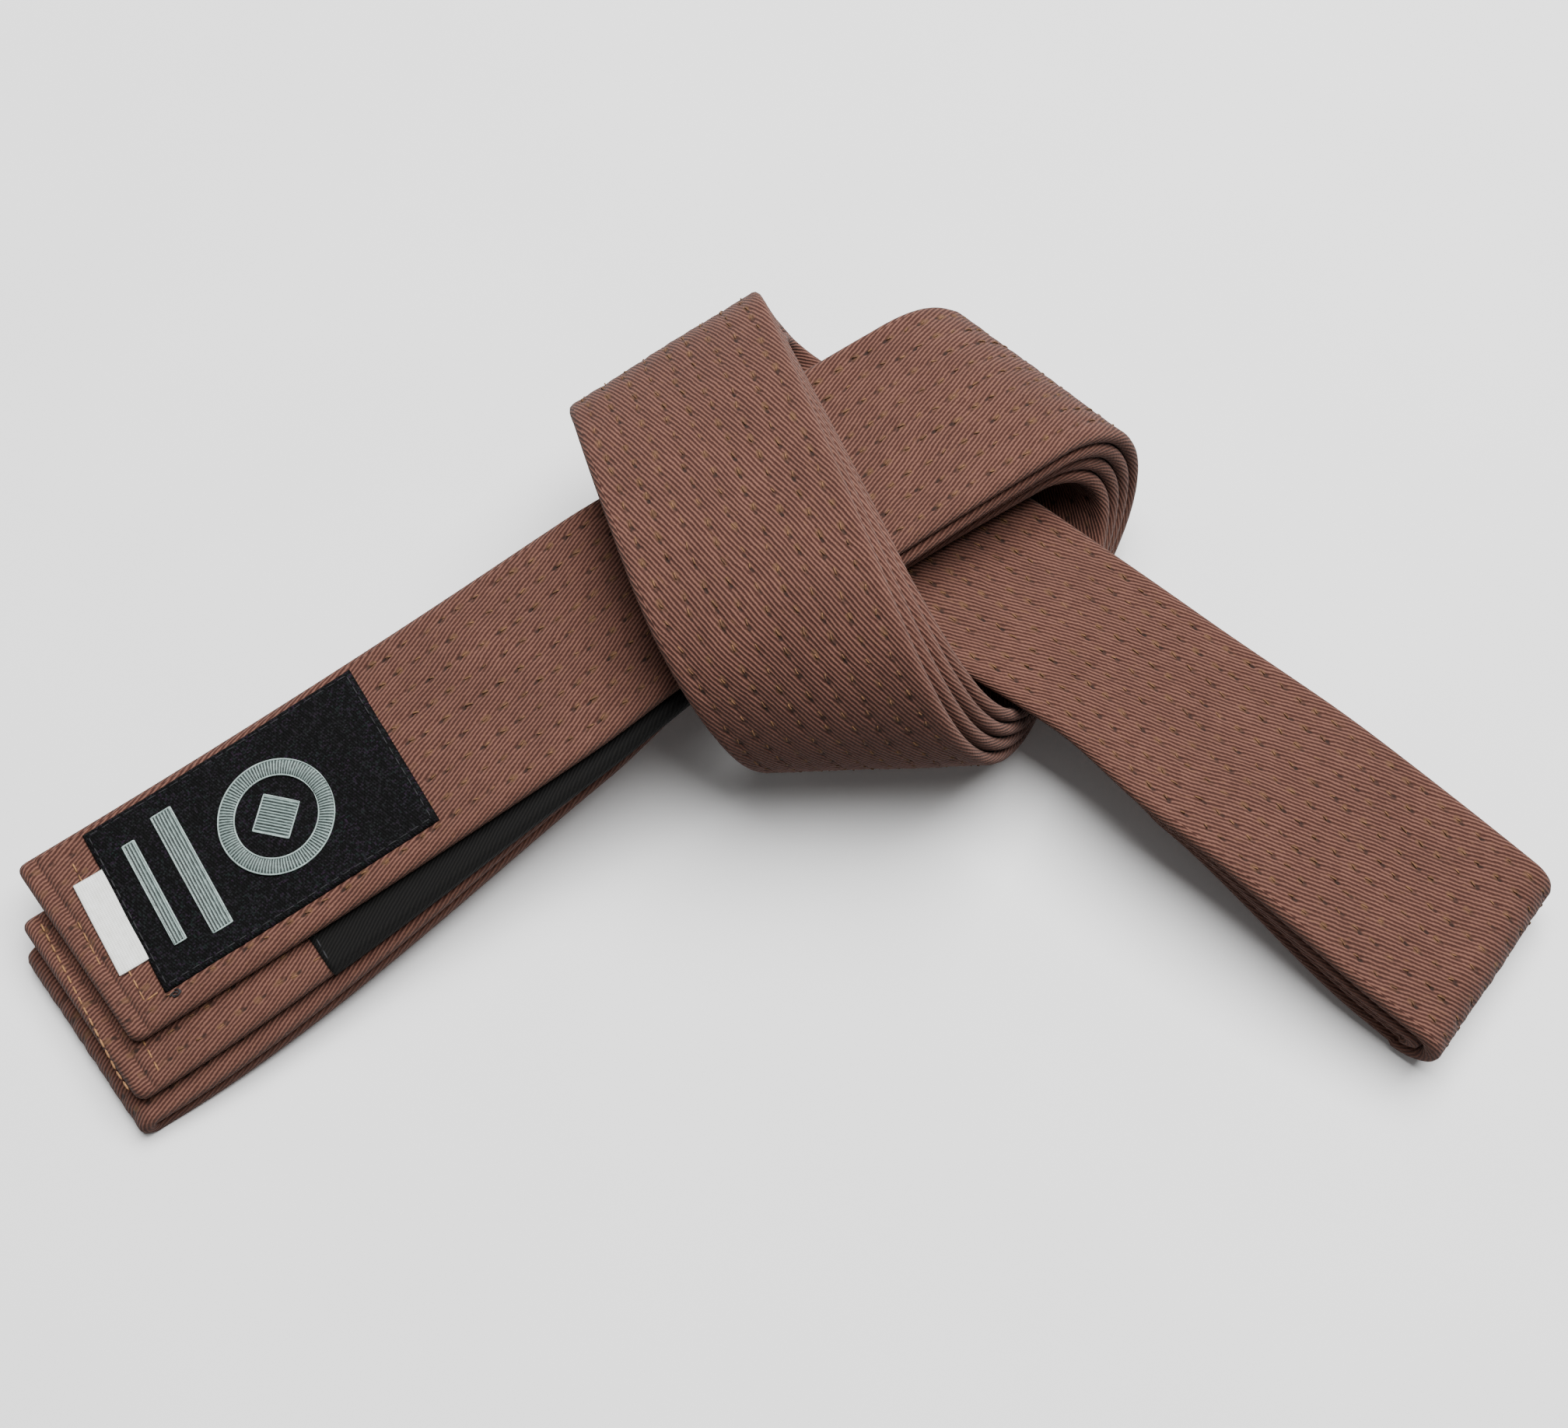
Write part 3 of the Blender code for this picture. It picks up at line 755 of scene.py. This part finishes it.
MATERIALS = {
    "cloth_brown": brown_twill(),
    "cloth_black": black_twill(),
    "label_black": label_cloth(),
    "thread_silver": satin_thread(),
    "thread_brown": spun_thread("thread_brown", (58, 36, 26), (122, 88, 58)),
    "thread_black": spun_thread("thread_black", (10, 10, 11), (44, 44, 47)),
    "thread_tan": spun_thread("thread_tan", (96, 66, 42), (160, 118, 78)),
    "thread_bright": spun_thread("thread_bright", (92, 108, 104), (172, 190, 186), 0.5),
    "tag_white": tag_tape(),
}


# ---------------------------------------------------------------- the strap

def make_strap():
    """Six lengths of strap that meet end to end deep inside the knot."""
    low, high = HIDDEN_LOW, HIDDEN_HIGH
    upper = joined(ply_lines(1, HEM_TRIM, low, 0.8, hem="start"))
    upper.along += HEM_TRIM
    second = joined(ply_lines(2, low, -TAIL, 0.9, hem="end"))
    doubled = joined(
        ply_lines(4, low, -TAIL, 1.1),
        turn_lines(-TAIL, -1, 4, 3, 0.5),
        ply_lines(3, -TAIL, low, 1.1),
    )
    outer = joined(
        ply_lines(1, low, TOTAL, 0.85),
        turn_lines(TOTAL, 1, 1, 4, 0.7),
        ply_lines(4, TOTAL, high, 0.85),
    )
    inner = joined(
        ply_lines(3, low, TOTAL, 1.3),
        turn_lines(TOTAL, 1, 3, 2, 0.6, folded_in=True),
        ply_lines(2, TOTAL, low, 1.3),
    )
    core = joined(ply_lines(4, high, low, 1.1))
    # name, cross lines, points across side one and side two, hems
    plans = (
        ("strap_upper", upper, 72, 22, {"hem_start": True}),
        ("strap_second", second, 44, 44, {"hem_end": True}),
        ("strap_doubled", doubled, 44, 20, {}),
        ("strap_outer", outer, 72, 22, {}),
        ("strap_inner", inner, 26, 26, {}),
        ("strap_core", core, 34, 30, {}),
    )
    for name, lines, fine, coarse, hems in plans:
        piece = strap_piece(name, lines, fine, coarse, **hems)
        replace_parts(piece, "outer_cover", "inner_core")
    return upper, second, outer


# ---------------------------------------------------------------- thread, bar, label and tag

def on_strap(lines, u, t, lift):
    """Points on side one by distance along and across the strap, and height over the cloth."""
    foot = np.array(u, dtype=float)
    for _ in range(4):
        foot = u - t * np.interp(foot, lines.along, lines.run)

    def at(values):
        columns = [np.interp(foot, lines.along, values[:, k]) for k in range(3)]
        return np.stack(columns, -1)

    thick = np.interp(foot, lines.along, lines.thick)
    offset = at(lines.normal) * (thick / 2 + lift)[..., None]
    return at(lines.centre) + at(lines.across) * np.asarray(t)[..., None] + offset


def thread_tubes(name, courses, radius, slot, sides=6):
    """Short thread tubes; a course is an array of points, and its ends taper."""
    points, faces = [], []
    for course in courses:
        course = np.asarray(course)
        tangent = unit(np.gradient(course, axis=0))
        sideways = unit(np.cross(tangent, [0.13, 0.21, 0.97]))
        upward = np.cross(sideways, tangent)
        span = np.linspace(-1, 1, len(course))
        girth = radius * np.sqrt(np.clip(1.02 - span**6, 0.05, 1))
        base = len(points)
        for k in range(len(course)):
            for a in np.arange(sides) * 2 * math.pi / sides:
                spoke = sideways[k] * math.cos(a) + upward[k] * math.sin(a)
                points.append(course[k] + girth[k] * spoke)
        for k in range(len(course) - 1):
            for a in range(sides):
                b = (a + 1) % sides
                low, high = base + k * sides, base + (k + 1) * sides
                faces.append((low + a, low + b, high + b, high + a))
        faces.append([base + a for a in range(sides)][::-1])
        faces.append([base + (len(course) - 1) * sides + a for a in range(sides)])
    return add_mesh(name, points, faces, slot)


def row_stitches(lines, start, stop, skip=None):
    """One course for each quilting stitch on side one between two distances along the strap.

    A stitch shows for a short way beside the hole it comes out of and then sinks into the cloth.
    """
    rng = random.Random(7)
    courses = []
    share = np.linspace(-1, 1, 6)
    for k in range(-(ROWS // 2), ROWS // 2 + 1):
        first = float(row_phase(float(k)))
        for n in range(math.ceil((start - first) / STITCH), math.floor((stop - first) / STITCH)):
            hole_u = first + n * STITCH + HOLE_DRIFT * (float(chance(n, k, SEED_ALONG)) - 0.5)
            hole_t = k * ROW_PITCH + ROW_DRIFT * (float(chance(n, k, SEED_ASIDE)) - 0.5)
            half = rng.uniform(0.5, 0.95)
            if skip and skip(hole_u, hole_t):
                continue
            u = hole_u + half + 0.35 + share * half
            t = hole_t + rng.uniform(-0.1, 0.1) + share * rng.uniform(-0.28, 0.28)
            lift = rng.uniform(-0.02, 0.10) - 0.40 * share**4
            courses.append(on_strap(lines, u, t, lift))
    return courses


def seam_stitches(lines, corners, pitch, lift):
    """Courses of stitches along straight seams between (along, across) corners."""
    courses = []
    share = np.linspace(-1, 1, 6)
    for (u0, t0), (u1, t1) in zip(corners, corners[1:]):
        length = math.hypot(u1 - u0, t1 - t0)
        count = max(1, round(length / pitch))
        for k in range(count):
            f = (k + 0.5 + share * 0.42) / count
            height = lift - SEAM_SAG * share**4
            courses.append(on_strap(lines, u0 + (u1 - u0) * f, t0 + (t1 - t0) * f, height))
    return courses


def slab(name, slot, lines, box, cell, top, base=-0.05):
    """A thin closed piece of cloth on side one, with its own height for each point."""
    low_u, high_u, low_t, high_t = box
    nu = max(2, round((high_u - low_u) / cell)) + 1
    nt = max(2, round((high_t - low_t) / cell)) + 1
    along, across = np.linspace(low_u, high_u, nu), np.linspace(low_t, high_t, nt)
    uu, tt = np.meshgrid(along, across, indexing="ij")
    upper = on_strap(lines, uu, tt, top(uu, tt))
    lower = on_strap(lines, uu, tt, np.full_like(uu, base))
    return closed_sheet(name, slot, upper, lower, uu, tt)


def closed_sheet(name, slot, upper, lower, uu, tt):
    """Joins an upper and a lower grid of points round their border."""
    nu, nt = uu.shape
    grid = np.arange(nu * nt).reshape(nu, nt)
    top = np.stack([grid[:-1, :-1], grid[1:, :-1], grid[1:, 1:], grid[:-1, 1:]], -1).reshape(-1, 4)
    bottom = top[:, ::-1] + nu * nt
    border = list(grid[:, 0]) + list(grid[-1, 1:]) + list(grid[-2::-1, -1]) + list(grid[0, -2:0:-1])
    rim = [(b, a, a + nu * nt, b + nu * nt) for a, b in zip(border, border[1:] + border[:1])]
    points = np.concatenate([upper.reshape(-1, 3), lower.reshape(-1, 3)])
    faces = np.concatenate([top, bottom, np.array(rim)])
    flat = np.stack([uu.ravel(), tt.ravel()], -1)
    uvs = {"cloth": np.vstack([flat, flat])[faces.ravel()]}
    return add_mesh(name, points, faces.tolist(), slot, uvs)


def edge_distance(u, t, box):
    """Distance inwards from the nearest edge of a box."""
    low_u, high_u, low_t, high_t = box
    return np.minimum(np.minimum(u - low_u, high_u - u), np.minimum(t - low_t, high_t - t))


def make_label(lines):
    """A woven patch with a puffed rim and a sewn border, under the emblem."""
    box = (PATCH_START, PATCH_END, PATCH_LOW, PATCH_HIGH)

    def top(u, t):
        inward = edge_distance(u, t, box)
        rounded = np.sqrt(np.clip(1 - (1 - np.minimum(inward, 0.5) / 0.5) ** 2, 0, 1))
        groove = -0.12 * np.exp(-(((inward - 1.0) / 0.3) ** 2))
        wave = 0.10 * np.sin(u * 0.31 + t * 0.12) + 0.08 * np.sin(t * 0.42 + 1.0)
        return 0.15 + 0.62 * rounded + groove + wave

    patch = slab("label_patch_cloth", "label_black", lines, box, 0.5, top)
    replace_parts(patch, "label_patch")
    inset = 1.0
    left, right = PATCH_LOW + inset, PATCH_HIGH - inset
    near, far = PATCH_START + inset, PATCH_END - inset
    corners = [(near, left), (far, left), (far, right), (near, right), (near, left)]
    courses = seam_stitches(lines, corners, 2.4, 0.76)
    border = thread_tubes("label_border_thread", courses, BORDER_THREAD, "thread_black")
    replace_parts(border, "label_border_stitching")
    make_emblem(lines)


def satin_height(across_share, crown=0.42):
    """Rounded height of satin stitch, by the share of the way from its middle to its edge."""
    return 0.86 + crown * np.sqrt(np.clip(1 - across_share**2, 0.0, 1.0))


def edge_cord(lines, corners):
    """One course of outline thread along straight edges between (along, across) corners."""
    pairs = zip(corners, corners[1:])
    points = [np.linspace(a, b, 24, endpoint=False) for a, b in pairs]
    path = np.concatenate(points + [[corners[-1]]])
    return on_strap(lines, path[:, 0], path[:, 1], np.full(len(path), CORD_LIFT))


def box_corners(box):
    """A box's corners in turn, and the first again."""
    low_u, high_u, low_t, high_t = box
    return [(low_u, low_t), (high_u, low_t), (high_u, high_t), (low_u, high_t), (low_u, low_t)]


def make_emblem(lines):
    """A plain ring round a lozenge, with two bars: raised satin stitch in fine outlines."""
    def round_hub(reach, angles):
        return EMBLEM_ALONG + reach * np.cos(angles), EMBLEM_ACROSS + reach * np.sin(angles)

    turns, widths = np.linspace(0, 2 * math.pi, 289), np.linspace(-1, 1, 9)
    angles, shares = np.meshgrid(turns, widths, indexing="ij")
    ridge = 0.05 * np.cos(angles * 72)
    u, t = round_hub(RING_RADIUS - RING_BAND / 2 + shares * (RING_BAND / 2 + ridge), angles)
    upper = on_strap(lines, u, t, satin_height(shares) + ridge * 0.6)
    lower = on_strap(lines, u, t, np.full_like(u, SATIN_FOOT))
    ring = closed_ring("emblem_ring", upper, lower, angles * RING_RADIUS, shares * RING_BAND)
    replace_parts(ring, "label_emblem")

    steps = np.linspace(-1, 1, 41)
    a, b = np.meshgrid(steps, steps, indexing="ij")
    u = EMBLEM_ALONG + (a + b) * LOZENGE_REACH / 2
    t = EMBLEM_ACROSS + (a - b) * LOZENGE_REACH / 2
    rise = satin_height(np.maximum(abs(a), abs(b)) ** 3, 0.4) + 0.04 * np.cos(a * 25)
    upper = on_strap(lines, u, t, rise)
    lower = on_strap(lines, u, t, np.full_like(u, SATIN_FOOT))
    closed_sheet("emblem_lozenge", "thread_silver", upper, lower, a * 4, b * 4)

    cords = []
    for node, *box in LABEL_BARS:
        half = (box[1] - box[0]) / 2

        def top(u, t, box=box, half=half):
            inward = np.minimum(edge_distance(u, t, box) / half, 1.0)
            return satin_height(1 - inward) + 0.04 * np.cos(t * 2 * math.pi / SATIN_PITCH)

        bar = slab(node + "_satin", "thread_silver", lines, box, 0.15, top, SATIN_FOOT)
        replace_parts(bar, node)
        cords.append(edge_cord(lines, box_corners(box)))
    reach = LOZENGE_OUTLINE
    diamond = [(EMBLEM_ALONG + x * reach, EMBLEM_ACROSS + y * reach) for x, y in LOZENGE]
    cords.append(edge_cord(lines, diamond))
    for radius in (RING_RADIUS, RING_RADIUS - RING_BAND):
        u, t = round_hub(radius, np.linspace(0, 2 * math.pi, 145))
        cords.append(on_strap(lines, u, t, np.full(len(u), CORD_LIFT)))
    thread_tubes("emblem_outline", cords, HEM_THREAD, "thread_bright")


def closed_ring(name, upper, lower, uu, vv):
    """A band whose two ends meet, closed underneath."""
    rings = np.concatenate([upper, lower[:, ::-1]], axis=1)[:-1]
    n, m = rings.shape[:2]
    grid = np.arange(n * m).reshape(n, m)
    following = np.roll(grid, -1, 0)
    faces = np.stack([grid, np.roll(grid, -1, 1), np.roll(following, -1, 1), following], -1)
    along = np.concatenate([uu, uu[:, ::-1]], axis=1)
    across = np.concatenate([vv, vv[:, ::-1]], axis=1)
    flat = np.stack([along, across], -1)
    beside = np.roll(flat, -1, 1)
    pairs = np.stack([flat[:-1], beside[:-1], beside[1:], flat[1:]], 2).reshape(-1, 2)
    return add_mesh(
        name, rings.reshape(-1, 3), faces.reshape(-1, 4).tolist(), "thread_silver", {"cloth": pairs}
    )


def flipped(lines):
    """The same cross lines, with side two as the upper side."""
    other = as_lines(lines.centre, lines.across, -lines.normal, lines.thick, lines.run)
    other.along = lines.along
    return other


def tangle(name, slot, lines, u, t, size, radius, seed):
    """Loose thread end: a few short loops on the cloth."""
    rng = random.Random(seed)
    courses = []
    for k in range(3):
        turn = np.linspace(0, 1, 12) * rng.uniform(2.5, 5.0) + rng.uniform(0, 6)
        reach = size * np.linspace(rng.uniform(0.2, 0.5), 1.0, 12)
        along = u + reach * np.cos(turn) + rng.uniform(-0.3, 0.3)
        across = t + reach * np.sin(turn) * 0.7 + rng.uniform(-0.3, 0.3)
        courses.append(on_strap(lines, along, across, 0.15 + 0.3 * np.sin(turn * 0.9 + k) ** 2))
    return thread_tubes(name, courses, radius, slot)


def make_tag(lines):
    """The tag's outer end shows; the rest runs in under the label."""
    box = (PATCH_START - TAG_SHOWING, PATCH_START + TAG_TUCKED, TAG_LOW, TAG_HIGH)

    def top(u, t):
        free = np.clip((PATCH_START - u) / 5.0, 0, 1)
        return 0.46 + 0.22 * free**2 + 0.05 * np.sin(t * 0.5)

    tag = slab("size_tag_tape", "tag_white", lines, box, 0.4, top, -0.02)
    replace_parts(tag, "size_tag")


def make_stitching(upper, second, outer):
    """Quilting on the faces that show, and the thread at both hems."""
    def under_trim(u, t):
        return 6.0 < u < PATCH_END and PATCH_LOW < t < PATCH_HIGH

    def quilting(name, courses):
        return thread_tubes(name, courses, QUILT_THREAD, "thread_brown", 5)

    joint = 12.0            # no stitches this close to where two lengths meet
    top, end = flipped(second), second.along[-1]
    rows = quilting("quilting_upper", row_stitches(upper, 7.0, upper.along[-1] - joint, under_trim))
    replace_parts(rows, "quilting_rows")
    quilting("quilting_outer", row_stitches(outer, joint, outer.along[-1] - joint))
    quilting("quilting_second", row_stitches(top, end - 60, end - 9))

    seam, box = HEM_TRIM + 3.6, HEM_TRIM + 7.6
    box_seam = [(box, SEAM_REACH - 3), (box, 3.0 - SEAM_REACH), (box + 6.4, 3.6 - SEAM_REACH)]
    hem = seam_stitches(upper, [(seam, -SEAM_REACH), (seam, SEAM_REACH)], 2.6, -0.22)
    hem += seam_stitches(upper, box_seam, 2.6, 0.02)
    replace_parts(thread_tubes("hem_thread_a", hem, HEM_THREAD, "thread_tan"), "hem_stitching_end_a")
    hem = seam_stitches(top, [(end - 1.5, -SEAM_REACH), (end - 1.5, SEAM_REACH)], 2.4, 0.25)
    hem += seam_stitches(top, [(end - 8.0, -SEAM_REACH), (end - 8.0, SEAM_REACH)], 2.6, 0.0)
    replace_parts(thread_tubes("hem_thread_b", hem, 0.2, "thread_tan"), "hem_stitching_end_b")
    near, low = PATCH_START + 1.5, PATCH_LOW - 1.2
    tangle("thread_end_a", "thread_black", upper, near, low, 1.1, HEM_THREAD, 3)
    tangle("thread_end_b", "thread_silver", upper, PATCH_START + 1.4, 0.5, 1.6, 0.09, 5)


def make_rank_bar():
    """A turned sleeve round the second ply, sewn down along its slanted end."""
    lines = joined(ply_lines(2, BAR_END, BAR_START, 1.0))
    bar = strap_piece("rank_bar_sleeve", lines, 40, 40, grow=BAR_EASE, slot="cloth_black")
    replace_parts(bar, "rank_bar")
    end = lines.along[-1]
    seam = seam_stitches(flipped(lines), [(end - 2.0, -19.0), (end - 2.0, 19.0)], 2.6, 0.32)
    thread = thread_tubes("rank_bar_thread", seam, QUILT_THREAD, "thread_black")
    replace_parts(thread, "rank_bar_stitching")


# ---------------------------------------------------------------- camera, light and floor

def make_camera():
    """Looks down at 65 degrees, over the middle of the knot and the two arms."""
    tilt = math.radians(65.0)
    distance = 430.0
    target = Vector((-36.5, -20.5, 0.0))
    data = bpy.data.cameras.new("camera")
    data.sensor_width = 36.0
    data.lens = 50.0
    data.clip_start = 0.02
    camera = bpy.data.objects.new("camera", data)
    camera.location = (target + Vector((0, -math.cos(tilt), math.sin(tilt))) * distance) * MM
    camera.rotation_euler = (math.pi / 2 - tilt, 0, 0)
    bpy.context.scene.collection.objects.link(camera)
    bpy.context.scene.camera = camera


def add_light(name, place, size, power):
    """A square soft box that looks at the belt."""
    data = bpy.data.lights.new(name, "AREA")
    data.size = size
    data.energy = power
    light = bpy.data.objects.new(name, data)
    light.location = place
    towards_belt = Vector((-0.03, -0.02, 0.02)) - Vector(place)
    light.rotation_euler = towards_belt.to_track_quat("-Z", "Y").to_euler()
    bpy.context.scene.collection.objects.link(light)


def make_studio():
    """Even white surroundings, one soft box and a pale floor."""
    world = bpy.data.worlds.new("studio")
    world.use_nodes = True
    background = world.node_tree.nodes["Background"]
    background.inputs["Color"].default_value = (1.0, 1.0, 1.0, 1.0)
    background.inputs["Strength"].default_value = 0.22
    bpy.context.scene.world = world
    add_light("key", (0.16, 0.24, 1.1), 1.0, 40.0)
    mesh = bpy.data.meshes.new("floor")
    side = 3.0
    corners = [(-side, -side, 0), (side, -side, 0), (side, side, 0), (-side, side, 0)]
    mesh.from_pydata(corners, [], [(0, 1, 2, 3)])
    floor = bpy.data.objects.new("floor", mesh)
    bpy.context.scene.collection.objects.link(floor)
    mesh.materials.append(floor_paint())
    floor.visible_diffuse = False  # throws no light up, so the undersides of the folds stay deep


make_camera()
make_studio()
upper_lines, second_lines, outer_lines = make_strap()
make_stitching(upper_lines, second_lines, outer_lines)
make_rank_bar()
make_label(upper_lines)
make_tag(upper_lines)
